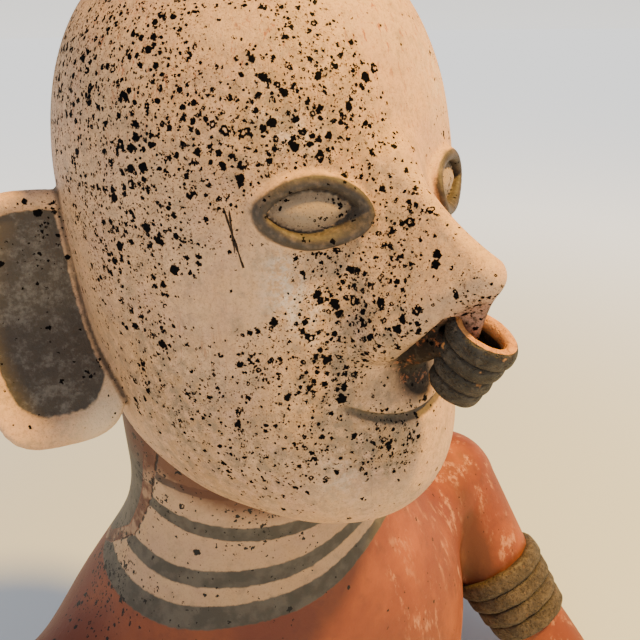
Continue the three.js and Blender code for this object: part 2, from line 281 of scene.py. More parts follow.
def mouth_place(point):
    """The height above the line of the mouth, and a share from 1 in its middle to 0 at its corners."""
    way = point[..., 0] / MOUTH_HALF_WIDTH
    height = point[..., 2] - (MOUTH_HEIGHT + MOUTH_RISE * way ** 2)
    return height, np.sqrt(clip(1 - way ** 2, 0, 1))


def ear_place(point):
    """A point in the ear's own frame: outwards, backwards through its thickness, and up."""
    x, y, z = parts(folded(point) - EAR_PLACE)
    outwards = x * math.cos(EAR_TURN) + y * math.sin(EAR_TURN)
    up = z * math.cos(EAR_LEAN) + outwards * math.sin(EAR_LEAN)
    sweep = EAR_SWEEP * (1 - ease(up / EAR_HALF_HEIGHT, EAR_SWEEP_BOTTOM, EAR_SWEEP_TOP))
    through = y * math.cos(EAR_TURN) - x * math.sin(EAR_TURN) + sweep
    return outwards * math.cos(EAR_LEAN) - z * math.sin(EAR_LEAN) - EAR_OFFSET, through, up


def ear_centre(outwards, up):
    """Distance to the sunk middle of an ear, inside a border that is wider at the lobe."""
    raised = (EAR_LOBE_BORDER - EAR_BORDER) / 2
    return oval(outwards, up - raised, EAR_HALF_WIDTH - EAR_BORDER,
                EAR_HALF_HEIGHT - EAR_BORDER - raised, EAR_SQUARENESS)


def ear(point):
    outwards, through, up = ear_place(point)
    edge = oval(outwards, up, EAR_HALF_WIDTH, EAR_HALF_HEIGHT, EAR_SQUARENESS)
    dish = EAR_DISH * ease(-ear_centre(outwards, up), -2, 1) * (through < 0)
    return smooth_max(edge, np.abs(through) - EAR_HALF_THICKNESS + dish, 3.0)


def uneven(point, size, amount):
    """A slow waviness, as a hand leaves it, that only takes clay away."""
    x, y, z = parts(point / size)
    wave = np.sin(x + 1.3 * np.sin(0.9 * z + 0.4)) * np.sin(1.1 * y + 0.8 * np.sin(1.2 * x + 2.0))
    return amount * (1.6 + wave + np.sin(z + 1.1 * np.sin(0.8 * y + 1.0)) * 0.6)


def face_form(point):
    """Head, nose, eyes, mouth and ears, and what holds the nose ring."""
    shape = skull(point) + uneven(point, 11.0, 0.35)
    x, y, z = parts(point)
    front = (y < -40) & (np.abs(x) < 48) & (z > -95) & (z < 35)
    shape[front] = front_form(point[front], shape[front])
    sides = (np.abs(x) > 48) & (y > -22) & (y < 58)
    shape[sides] = smooth_min(shape[sides], ear(point[sides]), EAR_BLEND)
    return hold_ring(point, shape)


def front_form(point, shape):
    """Adds the nose, eyes and mouth to the skull."""
    shape = smooth_min(shape, nose(point), NOSE_BLEND)
    across, half, opening = eye_rope(point)
    share = clip(-opening / OPENING_HALF_HEIGHT, 0, 1)
    eyeball = EYEBALL_RISE * (1 - (1 - share) ** 2) - EYEBALL_SINK
    size = np.sqrt((across / half) ** 2 + ((shape - ROPE_LIFT) / ROPE_HEIGHT) ** 2)
    rope = (size - 1) * np.minimum(half, ROPE_HEIGHT)
    shape = np.where(opening < 0, smooth_min(shape - eyeball, rope, EYEBALL_BLEND),
                     smooth_min(shape, rope, ROPE_BLEND))
    height, reach = mouth_place(point)
    groove = ease(height, -GROOVE_HEIGHT, -0.4) * (1 - ease(height, -0.4, 0.8)) * reach
    lip = LIP_RISE * np.exp(-((height - LIP_ABOVE_MOUTH) / LIP_HALF_HEIGHT) ** 2) * reach
    shape = shape + (MOUTH_DEPTH * groove - lip) * (point[..., 1] < -55)
    for side in (-1, 1):
        mirror = np.array([side, 1, 1])
        nostril = limb(point, NOSTRIL_FRONT * mirror, NOSTRIL_BACK * mirror, *NOSTRIL_RADII)
        shape = smooth_max(shape, -nostril, NOSTRIL_BLEND)
    return shape


def ring_frame():
    """Down the ring's axis, forwards across it, and sideways."""
    turn = (Matrix.Rotation(-RING_LEAN, 3, "Y") @ Matrix.Rotation(RING_TILT, 3, "X")
            @ Matrix.Rotation(RING_TWIST, 3, "Z"))
    return tuple(np.array(turn @ Vector(way)) for way in ((0, 0, -1), (0, -1, 0), (1, 0, 0)))


def hold_ring(point, shape):
    """Adds the septum and the bridge."""
    down, ahead, _ = ring_frame()
    x, y, z = parts(point)
    near = (np.abs(x) < 20) & (y < -50) & (z > -75) & (z < 0)
    place = point[near]
    squeeze = np.array([1 / SEPTUM_FLATNESS, 1.0, 1.0])
    end = RING_TOP + SEPTUM_DIP * down - SEPTUM_SET_BACK * ahead
    septum = limb(place * squeeze, NOSE_TIP, end * squeeze, SEPTUM_RADIUS, SEPTUM_RADIUS * 0.9) * 0.7
    septum = septum + uneven(place, 3.2, 0.3)
    start = RING_TOP + RING_LENGTH / 2 * down + (RING_WALL / 2 - RING_HALF_DEPTH) * ahead
    bridge = limb(place, start, BRIDGE_FOOT, *BRIDGE_RADII) + uneven(place, 4.0, 0.5)
    shape[near] = smooth_min(smooth_min(shape[near], septum, SEPTUM_BLEND), bridge, BRIDGE_BLEND)
    return shape


def neck(point):
    x, y, z = parts(point)
    y = y - NECK_BACK
    size = np.sqrt((x / NECK_HALF_WIDTH) ** 2 + (y / NECK_HALF_DEPTH) ** 2)
    side = (size - 1) * np.sqrt(x * x + y * y) / np.maximum(size, 0.25)
    return smooth_max(side, z - NECK_TOP, NECK_TOP_BLEND)


def body_form(point):
    """Neck, trunk, shoulders and arms, cut flat below."""
    x, y, z = parts(point)
    trunk = rounded_block(x, y - BODY_BACK, np.maximum(z + BODY_BELOW_EYES, 0), BODY_HALF_WIDTH,
                          BODY_HALF_DEPTH, SHOULDER_RISE, PLAN_EXPONENT, SHOULDER_EXPONENT)
    shape = smooth_min(trunk, neck(point), NECK_BLEND)
    place = folded(point)
    arm = np.minimum(limb(place, YOKE, SHOULDER, YOKE_RADIUS, SHOULDER_RADIUS),
                     limb(place, SHOULDER, ARM_END, SHOULDER_RADIUS, ARM_RADIUS, ARM_OVERRUN))
    shape = smooth_min(shape, arm, ARM_BLEND) + uneven(point, 16.0, 0.4)
    return np.maximum(shape, -EYE_LEVEL - z)


def lines(*stops):
    """Grid lines from (place, spacing) stops, each spacing holding up to the next place."""
    places = []
    for (start, spacing), (end, _) in zip(stops, stops[1:]):
        count = max(1, round((end - start) / spacing))
        places.extend(start + (end - start) * step / count for step in range(count))
    return np.array(places + [stops[-1][0]])


def skin(form, xs, ys, zs):
    """A closed mesh on a form's surface: one corner in each grid cell that the surface crosses."""
    shape = (len(xs), len(ys), len(zs))
    values = np.empty(shape)
    slab = 16
    for first in range(0, shape[0], slab):
        part = np.stack(np.meshgrid(xs[first:first + slab], ys, zs, indexing="ij"), -1)
        values[first:first + slab] = form(part)
    inside = values < 0
    count = sum(inside[i:shape[0] - 1 + i, j:shape[1] - 1 + j, k:shape[2] - 1 + k].astype(np.int8)
                for i in (0, 1) for j in (0, 1) for k in (0, 1))
    cells = np.argwhere((count > 0) & (count < 8))
    number = np.full(count.shape, -1)
    number[tuple(cells.T)] = np.arange(len(cells))
    axes = (xs, ys, zs)
    total = np.zeros((len(cells), 3))
    crossings = np.zeros(len(cells))
    for axis in range(3):
        others = [other for other in range(3) if other != axis]
        for step in range(4):
            low = cells.copy()
            low[:, others[0]] += step & 1
            low[:, others[1]] += step >> 1
            high = low.copy()
            high[:, axis] += 1
            a, b = values[tuple(low.T)], values[tuple(high.T)]
            crossed = (a < 0) != (b < 0)
            share = np.where(crossed, a / np.where(crossed, a - b, 1), 0)[:, None]
            ends = [np.stack([axes[n][corner[:, n]] for n in range(3)], -1) for corner in (low, high)]
            total += (ends[0] + (ends[1] - ends[0]) * share) * crossed[:, None]
            crossings += crossed
    corners = total / crossings[:, None]
    faces = []
    for axis in range(3):
        second, third = (axis + 1) % 3, (axis + 2) % 3
        low = [slice(None)] * 3
        high = [slice(None)] * 3
        low[axis], high[axis] = slice(0, -1), slice(1, None)
        for other in (second, third):
            low[other] = high[other] = slice(1, -1)
        before, after = inside[tuple(low)], inside[tuple(high)]
        for outwards, crossed in ((True, before & ~after), (False, after & ~before)):
            place = np.argwhere(crossed)
            place[:, second] += 1
            place[:, third] += 1
            ring = []
            for back_second, back_third in ((1, 1), (0, 1), (0, 0), (1, 0)):
                cell = place.copy()
                cell[:, second] -= back_second
                cell[:, third] -= back_third
                ring.append(number[tuple(cell.T)])
            faces.append(np.stack(ring if outwards else ring[::-1], -1))
    for _ in range(3):
        corners = settle(form, corners)
    return corners, np.concatenate(faces)


def settle(form, corners, step=0.05, longest=0.6):
    """Moves points on to a form's surface, by no more than the longest move."""
    value = form(corners)
    slope = np.stack([form(corners + step * unit) - form(corners - step * unit) for unit in np.eye(3)], -1)
    slope /= 2 * step
    steep = np.maximum((slope * slope).sum(-1), 0.05)
    move = -value[:, None] * slope / steep[:, None]
    size = np.maximum(length(move), 1e-9)
    return corners + move * np.minimum(1, longest / size)[:, None]


def to_metres(corners):
    return (corners + EYES) * MILLIMETRE


def placed(name, data):
    """A new object of this mesh, lamp or camera, in the scene."""
    thing = bpy.data.objects.new(name, data)
    bpy.context.scene.collection.objects.link(thing)
    return thing


def smooth_piece(name, mesh):
    mesh.polygons.foreach_set("use_smooth", np.ones(len(mesh.polygons), dtype=bool))
    return placed(name, mesh)


def piece(name, corners, faces, material):
    """A mesh in the finished part's frame, from corners in millimetres."""
    mesh = bpy.data.meshes.new(name)
    mesh.vertices.add(len(corners))
    mesh.vertices.foreach_set("co", to_metres(corners).astype(np.float32).ravel())
    mesh.loops.add(faces.size)
    mesh.loops.foreach_set("vertex_index", faces.astype(np.int32).ravel())
    mesh.polygons.add(len(faces))
    starts = np.arange(len(faces), dtype=np.int32) * faces.shape[1]
    mesh.polygons.foreach_set("loop_start", starts)
    mesh.update(calc_edges=True)
    mesh.validate()
    mesh.materials.append(material)
    return smooth_piece(name, mesh)


def mark(thing, name, values):
    """Gives each corner of a piece a number that its material reads."""
    layer = thing.data.attributes.new(name, "FLOAT", "POINT")
    layer.data.foreach_set("value", np.asarray(values, dtype=np.float32))


def maths(operation, swapped=False):
    """A method that joins two values with a Math node."""
    def join(self, other):
        values = (other, self) if swapped else (self, other)
        return self.tree.node("ShaderNodeMath", {"operation": operation}, *values)[0]
    return join


class Wire:
    """A number, vector or colour on its way through a node tree. Sums on it add Math nodes."""

    def __init__(self, tree, socket):
        self.tree = tree
        self.socket = socket

    __add__ = __radd__ = maths("ADD")
    __sub__ = maths("SUBTRACT")
    __rsub__ = maths("SUBTRACT", swapped=True)
    __mul__ = __rmul__ = maths("MULTIPLY")
    __gt__ = maths("GREATER_THAN")
    __lt__ = maths("LESS_THAN")
    least = maths("MINIMUM")
    most = maths("MAXIMUM")
    power = maths("POWER")

    def held(self):
        """Kept between 0 and 1."""
        return self.most(0).least(1)

    def ease(self, low, high):
        """0 at low, 1 at high, and smooth between."""
        settings = {"interpolation_type": "SMOOTHSTEP"}
        return self.tree.node("ShaderNodeMapRange", settings, self, low, high, 0, 1)[0]


class Outputs:
    """A node's outputs, by number or name."""

    def __init__(self, tree, made):
        self.tree = tree
        self.made = made

    def __getitem__(self, key):
        sockets = [socket for socket in self.made.outputs if socket.enabled]
        socket = sockets[key] if isinstance(key, int) else next(s for s in sockets if s.name == key)
        return Wire(self.tree, socket)


class Tree:
    """A node tree under construction."""

    def __init__(self, tree):
        self.nodes = tree.nodes
        self.links = tree.links

    def node(self, kind, settings, *values, **named):
        """Adds a node. Values go to its sockets in order, and named ones by name."""
        made = self.nodes.new(kind)
        for key, value in settings.items():
            setattr(made, key, value)
        sockets = [socket for socket in made.inputs if socket.enabled]
        pairs = list(zip(sockets, values))
        pairs += [(next(socket for socket in sockets if socket.name == key.replace("_", " ")), value)
                  for key, value in named.items()]
        for socket, value in pairs:
            if isinstance(value, Wire):
                self.links.new(value.socket, socket)
            elif socket.type == "RGBA":
                socket.default_value = (*value, 1.0)
            else:
                socket.default_value = value
        return Outputs(self, made)

    def vector(self, operation, *values, **named):
        return self.node("ShaderNodeVectorMath", {"operation": operation}, *values, **named)[0]

    def push(self, amount, scale, **place):
        """A small move by noise, up to half the amount each way."""
        cloud = self.node("ShaderNodeTexNoise", {}, Scale=scale, Detail=2.0, **place)["Color"]
        return self.vector("SCALE", self.vector("SUBTRACT", cloud, (0.5, 0.5, 0.5)), Scale=amount)


class Paint(Tree):
    """A material under construction."""

    def __init__(self, name):
        self.material = bpy.data.materials.new(name)
        self.material.use_nodes = True
        self.material.node_tree.nodes.clear()
        super().__init__(self.material.node_tree)
        place = self.node("ShaderNodeTexCoord", {})["Object"]
        self.place = self.vector("SCALE", place, Scale=1 / MILLIMETRE)

    def attribute(self, name):
        return self.node("ShaderNodeAttribute", {"attribute_name": name})["Fac"]

    def area(self, name, raggedness, *edges):
        """A marked place with a ragged edge, eased between two values or kept between 0 and 1."""
        inside = self.attribute(name) + raggedness
        return inside.ease(*edges) if edges else inside.held()

    def moved(self, offset, stretch=(1, 1, 1)):
        """The place on the piece, pushed along and stretched, for a pattern of its own."""
        return self.node("ShaderNodeMapping", {}, self.place, Location=offset, Scale=stretch)[0]

    def noise(self, size, detail=3.0, roughness=0.55, at=None, stretch=(1, 1, 1)):
        """Cloudy noise with lumps of about this size in millimetres, or another such noise at an offset."""
        place = self.moved(at, stretch) if at else self.place
        return self.node("ShaderNodeTexNoise", {}, Vector=place, Scale=1 / size, Detail=detail,
                         Roughness=roughness)[0]

    def cells(self, size, place, amount, shift_size):
        """The distance to the nearest of scattered points, in cells, and that point's own colour.

        The place is first pushed about by noise, so that what is drawn has ragged edges."""
        place = self.vector("ADD", place, self.push(amount, 1 / shift_size, Vector=place))
        made = self.node("ShaderNodeTexVoronoi", {"feature": "F1"}, Vector=place, Scale=1 / size)
        return made["Distance"], made["Color"]

    def mix(self, first, second, share):
        """From the first colour to the second."""
        return self.node("ShaderNodeMix", {"data_type": "RGBA"}, share, first, second)[0]

    def finish(self, colour, roughness, height, strength, depth, dull=None):
        """Joins colour, roughness and relief to the surface, with matt black where it is dull.

        Height is in units of depth, in millimetres."""
        bump = self.node("ShaderNodeBump", {}, Strength=strength, Distance=depth * MILLIMETRE,
                         Height=height)
        shader = self.node("ShaderNodeBsdfPrincipled", {}, Base_Color=colour, Roughness=roughness,
                           Normal=bump[0], Specular_IOR_Level=0.35)
        if dull is not None:
            matt = self.node("ShaderNodeBsdfDiffuse", {}, Color=SPECK, Normal=bump[0])
            shader = self.node("ShaderNodeMixShader", {}, dull, shader[0], matt[0])
        self.node("ShaderNodeOutputMaterial", {}, shader[0])
        return self.material


# Colours, as linear red, green and blue.
SPECK = (0.002, 0.002, 0.003)
SPECK_BROWN = (0.10, 0.045, 0.02)
CREAM = (0.68, 0.435, 0.255)
CREAM_WARM = (0.70, 0.41, 0.205)
CREAM_PINK = (0.62, 0.38, 0.25)
CREAM_GREY = (0.38, 0.265, 0.17)
CHALK = (0.80, 0.68, 0.56)
# Grime that also serves as painted shade, on the face and on the neck.
GRIME_AND_SHADE = (0.27, 0.195, 0.125)
ORANGE_GRIME_AND_SHADE = (0.44, 0.265, 0.13)
GRAIN_BROWN = (0.26, 0.13, 0.06)
STROKE_BROWN = (0.36, 0.20, 0.10)
SCRATCH_RED = (0.34, 0.085, 0.03)
GREY_PAINT = (0.024, 0.023, 0.021)
GREY_PAINT_LIGHT = (0.046, 0.042, 0.038)
EYEBALL_GREY = (0.25, 0.195, 0.135)
MOUTH_OLIVE = (0.060, 0.050, 0.034)
EAR_GREY = (0.035, 0.035, 0.034)
EAR_GREY_LIGHT = (0.15, 0.145, 0.135)
LOBE_CREAM = (0.72, 0.57, 0.41)
SEPTUM_PINK = (0.31, 0.165, 0.115)
SEPTUM_BROWN = (0.075, 0.038, 0.024)
# Near black, for painted shade in hollows, creases and pits.
HOLLOW_SHADE_BLACK = (0.026, 0.015, 0.009)
HOLLOW_CLAY = (0.30, 0.085, 0.02)
RED_BODY = (0.20, 0.047, 0.023)
RED_DARK = (0.115, 0.034, 0.026)
ORANGE = (0.34, 0.090, 0.028)
CHALKY_RED = (0.50, 0.24, 0.15)
STRIPE_GREY = (0.062, 0.055, 0.045)
STRIPE_GREY_LIGHT = (0.13, 0.112, 0.090)
BORDER_CLAY = (0.33, 0.20, 0.12)
# Dark brown for the neck's back border, and for painted shade in creases.
BORDER_AND_SHADE_BROWN = (0.10, 0.033, 0.017)
BARE_CLAY = (0.60, 0.27, 0.09)
DUST = (0.30, 0.20, 0.12)
# Near black, for painted shade in the grooves between coils and inside the ring.
GROOVE_SHADE_BLACK = (0.006, 0.004, 0.003)
RING_GREY = (0.021, 0.019, 0.016)
RING_GREY_LIGHT = (0.058, 0.051, 0.043)
BAND_BROWN = (0.055, 0.042, 0.031)
BAND_BROWN_LIGHT = (0.112, 0.086, 0.062)


def spot_layer(paint, size, density, low, high, seed):
    """Ragged dark spots, some with a pale heart: cell size in millimetres and radii in cells."""
    place = paint.moved((seed, 2 * seed, 3 * seed))
    distance, own = paint.cells(size, place, 0.7 * size, 0.4 * size)
    dice = paint.node("ShaderNodeSeparateColor", {}, own)
    chance, spread, kind = (dice[number] for number in range(3))
    radius = low + (high - low) * spread.power(1.5)
    heart = (radius * 0.42 - distance).ease(-0.03, 0.05) * (kind > 0.7)
    return (radius - distance).ease(-0.04, 0.04) * (chance < density) * (1 - heart)


def spots(paint, density):
    """All sizes of dark spot together. They gather in clumps."""
    cluster = paint.noise(9.0, detail=4.0, roughness=0.7, at=(40, 10, 5)).ease(0.42, 0.60)
    clumped = (density * (0.15 + 1.5 * cluster) + (density - 1).most(0) * 0.9).held()
    big = spot_layer(paint, 3.6, clumped * 0.8, 0.10, 0.46, 11.0)
    middle = spot_layer(paint, 2.2, clumped * 0.9, 0.16, 0.48, 23.0)
    small = spot_layer(paint, 1.2, (density * 0.3 + clumped * 0.6).least(0.85), 0.16, 0.44, 37.0)
    return big.most(middle).most(small)


def cut(paint, start, end):
    """A fine dark scratch between two places, in millimetres from the eyes."""
    start, end = (Vector(place) + Vector(EYES) for place in (start, end))
    along = (end - start).normalized()
    offset = paint.vector("SUBTRACT", paint.place, tuple(start))
    reach = paint.vector("DOT_PRODUCT", offset, tuple(along))
    away = paint.vector("LENGTH", paint.vector("CROSS_PRODUCT", offset, tuple(along)))
    away = away + (paint.noise(2.5, detail=3.0) - 0.5) * 0.8
    within = (reach > 0) * (reach < (end - start).length)
    return (0.38 - away).ease(-0.06, 0.16) * within * 0.85


def cream_slip(paint):
    """Burnished cream slip: warm, pink and grey clouds with a fine brown grain."""
    cloud = paint.noise(34.0, detail=4.0)
    patch = paint.noise(13.0, detail=5.0, roughness=0.62, at=(90, 20, 60))
    colour = paint.mix(CREAM_WARM, CREAM_PINK, cloud.ease(0.38, 0.62))
    colour = paint.mix(colour, CREAM, patch.ease(0.35, 0.7))
    stain = paint.noise(7.0, detail=6.0, roughness=0.7, at=(15, 25, 65))
    colour = paint.mix(colour, CREAM_GREY, stain.ease(0.5, 0.72) * 0.8)
    grain = paint.noise(0.8, roughness=0.75)
    return paint.mix(colour, GRAIN_BROWN, grain.ease(0.50, 0.74) * 0.6)


def worn_cream(paint, streaks, smudge, density):
    """The face's cream slip: brown streaks, red scratches, chalky wear, grime and painted shade."""
    colour = paint.mix(cream_slip(paint), STROKE_BROWN, streaks.ease(0.50, 0.75) * 0.35)
    rubbed = paint.noise(22.0, at=(7, 80, 30))
    red = streaks.ease(0.57, 0.65) * rubbed.ease(0.36, 0.52) * paint.attribute("scratched")
    colour = paint.mix(colour, SCRATCH_RED, red * 0.8)
    chalk = paint.noise(3.0, detail=5.0, roughness=0.8, at=(1, 9, 50))
    wear = (paint.attribute("worn") * chalk.ease(0.40, 0.60) * 0.9).held()
    colour = paint.mix(colour, CHALK, wear)
    # A darker film: partly grime, partly painted shade on the brow, nose, mouth and under the jaw.
    film = paint.noise(4.0, detail=6.0, roughness=0.75, at=(70, 5, 35))
    grime_and_shade = (paint.attribute("grime_and_shade") * 0.9 + density * 0.35) * film.ease(0.36, 0.60)
    tint = paint.mix(ORANGE_GRIME_AND_SHADE, GRIME_AND_SHADE, smudge.ease(0.42, 0.58))
    return paint.mix(colour, tint, grime_and_shade.held() * 0.9)


def head_material():
    paint = Paint("speckled_cream_slip")
    streaks = paint.noise(1.5, detail=4.0, roughness=0.7, at=(5, 5, 5), stretch=(1.0, 1.0, 0.14))
    smudge = paint.noise(6.0, detail=4.0, at=(3, 33, 13))
    mottle = paint.noise(1.7, detail=4.0, roughness=0.7, at=(8, 3, 41))
    wobble = paint.noise(2.2) - 0.5
    thick = paint.attribute("spots")
    density = thick.least(1)
    colour = worn_cream(paint, streaks, smudge, density)
    olive = paint.mix(GREY_PAINT, GREY_PAINT_LIGHT, smudge.ease(0.4, 0.65))
    septum = paint.mix(SEPTUM_PINK, SEPTUM_BROWN, mottle.ease(0.46, 0.60))
    patchy = mottle.ease(0.50, 0.58) * smudge.ease(0.53, 0.60) * 0.8
    # Painted shade under the nose, near black, broken by orange patches of bare clay.
    hollow_shade = paint.area("hollow_shade", wobble * 0.6)
    blend = (smudge * 0.5 + mottle * 0.5).ease(0.46, 0.66)
    for tint, share in (
            (olive, paint.area("rope", wobble * 0.35, -0.12, 0.22) * 0.96),
            (EYEBALL_GREY, paint.area("lens", wobble * 0.4, 0.45, 1.0) * 0.8),
            (MOUTH_OLIVE, paint.area("lips", wobble * 0.5, 0.15, 0.6) * 0.9),
            (septum, paint.area("septum", wobble * 0.5) * 0.95),
            (paint.mix(HOLLOW_SHADE_BLACK, HOLLOW_CLAY, patchy), hollow_shade),
            (LOBE_CREAM, paint.area("lobe", wobble * 0.6) * 0.8),
            (paint.mix(EAR_GREY, EAR_GREY_LIGHT, blend * 0.8),
             paint.area("ear_centre", wobble * 1.5, -0.5, 0.5) * 0.95),
            # Painted shade in the ears' creases and round the eyeballs.
            (HOLLOW_SHADE_BLACK, paint.area("crevice_shade", wobble * 0.5) * 0.9)):
        colour = paint.mix(colour, tint, share)
    fine = paint.noise(0.55, detail=2.0, roughness=0.6, at=(60, 20, 30))
    colour = paint.mix(colour, SPECK_BROWN, fine.ease(0.58, 0.66) * (density * 0.8 + 0.2).held())
    dark = spots(paint, thick)
    for start, end in SCRATCHES:
        dark = dark.most(cut(paint, start, end))
    colour = paint.mix(colour, SPECK, dark)
    grain = paint.noise(0.8, detail=4.0, roughness=0.7)
    pores = paint.noise(5.0, detail=5.0, roughness=0.6)
    height = grain * 0.3 + pores * 0.7 - streaks * 0.45 + dark * 0.15
    roughness = 0.48 + grain * 0.22 - dark * 0.1
    # The spots and the painted shade under the nose are matt black.
    dull = dark.most(hollow_shade * (1 - patchy) * 0.5) * 0.9
    return paint.finish(colour, roughness, height, strength=0.9, depth=0.55, dull=dull)


def body_material():
    paint = Paint("red_slip_and_stripes")
    cloud = paint.noise(45.0, detail=5.0, roughness=0.6)
    patch = paint.noise(9.0, detail=6.0, roughness=0.65, at=(20, 70, 10))
    red = paint.mix(RED_BODY, ORANGE, cloud.ease(0.42, 0.68))
    red = paint.mix(red, RED_DARK, patch.ease(0.52, 0.75) * 0.6)
    runs = paint.noise(8.0, detail=6.0, roughness=0.75, at=(3, 60, 8), stretch=(1.0, 1.0, 0.22))
    rubbed = paint.noise(26.0, at=(9, 4, 9))
    chalky = runs.ease(0.52, 0.64) * rubbed.ease(0.40, 0.56) * paint.attribute("chalk")
    red = paint.mix(red, CHALKY_RED, chalky * 0.8)
    red = paint.mix(red, RED_DARK, paint.attribute("shade") * 0.45)
    # The neck's cream is darkened all over with painted shade.
    cream = paint.mix(cream_slip(paint), GRIME_AND_SHADE, 0.4)
    tone = paint.noise(7.0, detail=5.0, at=(11, 2, 44))
    grey = paint.mix(STRIPE_GREY, STRIPE_GREY_LIGHT, tone.ease(0.4, 0.65) * 0.7)
    edging = paint.mix(BORDER_AND_SHADE_BROWN, BORDER_CLAY, tone.ease(0.4, 0.6))
    wobble = paint.noise(3.5, detail=4.0) - 0.5
    stripe = paint.area("stripe", wobble * 1.6, -0.3, 0.5)
    line = paint.attribute("line").ease(-0.1, 0.3)
    dark = spots(paint, paint.attribute("spots"))
    colour = paint.mix(red, cream, paint.area("cream", wobble * 1.2, -0.3, 0.3))
    colour = paint.mix(colour, grey, stripe)
    colour = paint.mix(colour, edging, paint.area("border", wobble * 1.5, -0.4, 0.4))
    # Painted shade in the creases under the jaw, in the armpits and above the armbands.
    colour = paint.mix(colour, BORDER_AND_SHADE_BROWN, paint.area("crease_shade", wobble * 0.5) * 0.9)
    colour = paint.mix(colour, SPECK, line * 0.9)
    colour = paint.mix(colour, SPECK, dark)
    grain = paint.noise(0.9, detail=4.0, roughness=0.7)
    pores = paint.noise(6.0, detail=5.0, roughness=0.6)
    height = grain * 0.3 + pores * 0.8 - line + dark * 0.1 + stripe * 0.15
    roughness = 0.46 + grain * 0.22 + chalky * 0.2
    return paint.finish(colour, roughness, height, strength=0.7, depth=0.45)


def coil_material(name, tint, light_tint, chipping):
    paint = Paint(name)
    tone = paint.noise(6.0, detail=5.0, roughness=0.65)
    colour = paint.mix(tint, light_tint, tone.ease(0.38, 0.66))
    dust = paint.noise(2.0, detail=5.0, roughness=0.75, at=(4, 14, 24))
    colour = paint.mix(colour, DUST, dust.ease(0.56, 0.72) * 0.4)
    chips = paint.cells(6.5, paint.moved((5, 8, 2)), 4.0, 2.5)[0]
    colour = paint.mix(colour, BARE_CLAY, (0.15 - chips).ease(-0.02, 0.03) * chipping)
    bare = paint.area("bare", (dust - 0.5) * 1.2, -0.2, 0.3)
    colour = paint.mix(colour, BARE_CLAY, bare)
    # Painted shade: near black in the grooves between the coils and deep inside the ring.
    groove = paint.attribute("groove").most(paint.attribute("inside")).held()
    colour = paint.mix(colour, GROOVE_SHADE_BLACK, groove * 0.95)
    grain = paint.noise(0.8, detail=4.0, roughness=0.7)
    pits = paint.noise(1.6, roughness=0.6, at=(2, 7, 9))
    # Painted shade in the pits of the relief.
    colour = paint.mix(colour, HOLLOW_SHADE_BLACK, pits.ease(0.50, 0.64) * (1 - bare) * 0.55)
    height = grain * 0.4 + tone * 0.5 - pits.ease(0.45, 0.7) * 0.7
    return paint.finish(colour, 0.5 + grain * 0.2, height, strength=0.9, depth=0.7)


def coil_stack():
    """A node group that stacks oval coils up +Z, each wider than the last by the same step."""
    group = bpy.data.node_groups.new("stack_of_coils", "GeometryNodeTree")
    group.interface.new_socket("Coil", in_out="OUTPUT", socket_type="NodeSocketGeometry")
    sizes = ("Spacing", "Half Width", "Half Depth", "Growth", "Coil Thickness", "Coil Height",
             "Rounding", "Unevenness")
    for name, kind in (("Coils", "Int"), *((size, "Float") for size in sizes), ("Material", "Material")):
        group.interface.new_socket(name, in_out="INPUT", socket_type="NodeSocket" + kind)
    rule = Tree(group)
    given = rule.node("NodeGroupInput", {})

    def three(x, y, z):
        return rule.node("ShaderNodeCombineXYZ", {}, x, y, z)[0]

    circle = rule.node("GeometryNodeCurvePrimitiveCircle", {}, Resolution=72, Radius=1.0)[0]
    path = rule.node("GeometryNodeTransform", {}, Geometry=circle,
                     Scale=three(given["Half Width"], given["Half Depth"], 1.0))[0]
    block = rule.node("GeometryNodeCurvePrimitiveQuadrilateral", {}, Width=1.0, Height=1.0)[0]
    rounded = rule.node("GeometryNodeFilletCurve", {"mode": "POLY"}, Curve=block, Count=6,
                        Radius=given["Rounding"])[0]
    section = rule.node("GeometryNodeTransform", {}, Geometry=rounded,
                        Scale=three(given["Coil Thickness"], given["Coil Height"], 1.0))[0]
    coil = rule.node("GeometryNodeCurveToMesh", {}, Curve=path, Profile_Curve=section, Fill_Caps=False)[0]
    places = rule.node("GeometryNodeMeshLine", {}, Count=given["Coils"],
                       Offset=three(0.0, 0.0, given["Spacing"]))[0]
    wider = rule.node("GeometryNodeInputIndex", {})[0] * given["Growth"] + 1.0
    tilt = rule.node("FunctionNodeRandomValue", {"data_type": "FLOAT_VECTOR"}, Min=(-0.03, -0.03, 0.0),
                     Max=(0.03, 0.03, 0.0), Seed=7)[0]
    stacked = rule.node("GeometryNodeInstanceOnPoints", {}, Points=places, Instance=coil, Rotation=tilt,
                        Scale=three(wider, wider, 1.0))[0]
    plain = rule.node("GeometryNodeRealizeInstances", {}, stacked)[0]
    uneven_coils = rule.node("GeometryNodeSetPosition", {}, Geometry=plain,
                             Offset=rule.push(given["Unevenness"], 140.0))[0]
    coloured = rule.node("GeometryNodeSetMaterial", {}, Geometry=uneven_coils, Material=given["Material"])
    rule.node("NodeGroupOutput", {}, coloured[0])
    return group


COILS = coil_stack()


def coils(name, turn, **sizes):
    """A stack of coils, placed by a matrix, as a plain mesh piece."""
    holder = placed(name + "_rule", bpy.data.meshes.new(name + "_rule"))
    rule = holder.modifiers.new("coils", "NODES")
    rule.node_group = COILS
    sockets = {item.name: item.identifier for item in COILS.interface.items_tree
               if item.item_type == "SOCKET" and item.in_out == "INPUT"}
    for key, value in sizes.items():
        rule[sockets[key.replace("_", " ")]] = value
    bpy.context.view_layer.update()
    evaluated = holder.evaluated_get(bpy.context.evaluated_depsgraph_get())
    mesh = bpy.data.meshes.new_from_object(evaluated)
    holder.modifiers.remove(rule)
    bpy.data.objects.remove(holder)
    mesh.transform(turn)
    return smooth_piece(name, mesh)


